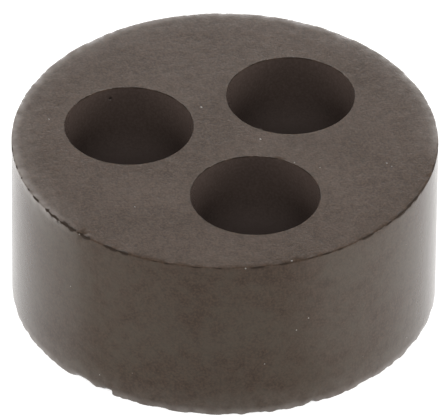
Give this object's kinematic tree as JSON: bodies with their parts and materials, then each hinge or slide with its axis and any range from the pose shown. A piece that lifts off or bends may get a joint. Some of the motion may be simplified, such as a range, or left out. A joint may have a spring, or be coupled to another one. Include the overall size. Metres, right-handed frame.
{
  "type": "cable gland seal insert",
  "caption": "Round rubber plug with equal through bores on one circle, which seals several cables in one screwed gland.",
  "frame": {"origin": "centre of the lower flat face", "axes": "+Z along the plug's axis, from the lower face to the upper one; the first cable bore lies on -Y"},
  "size_m": [0.0196, 0.0196, 0.0084],
  "materials": {
    "rubber": "moulded rubber in a warm dark grey, satin, lightly dusted"
  },
  "bodies": {
    "root": {"seal_insert": "rubber"}
  },
  "joints": []
}
